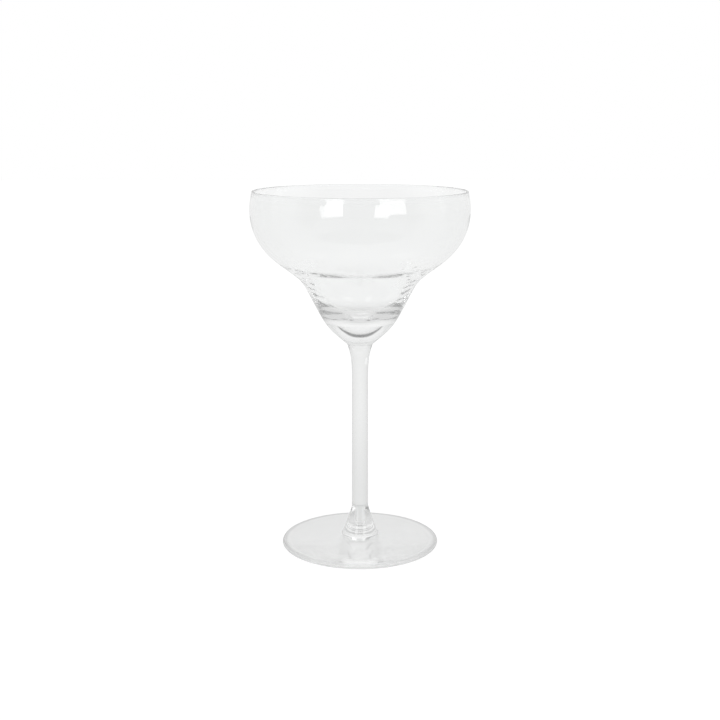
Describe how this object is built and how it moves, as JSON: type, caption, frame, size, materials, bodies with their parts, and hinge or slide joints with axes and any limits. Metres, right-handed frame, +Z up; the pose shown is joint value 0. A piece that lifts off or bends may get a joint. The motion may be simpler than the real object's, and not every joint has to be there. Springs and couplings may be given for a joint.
{
  "type": "margarita glass",
  "caption": "Clear stemmed cocktail glass with a wide round bowl that steps down to a small cup, on a slender solid stem and a flat round foot.",
  "frame": {"origin": "centre of the foot on the table that the glass stands on", "axes": "+Z up along the stem, from the foot to the rim; the glass is round, so +X and +Y are free"},
  "size_m": [0.103, 0.103, 0.172],
  "materials": {
    "clear_glass": "clear colourless soda-lime glass, fire-polished"
  },
  "bodies": {
    "root": {"bowl": "clear_glass", "stem": "clear_glass", "foot": "clear_glass"}
  },
  "joints": []
}
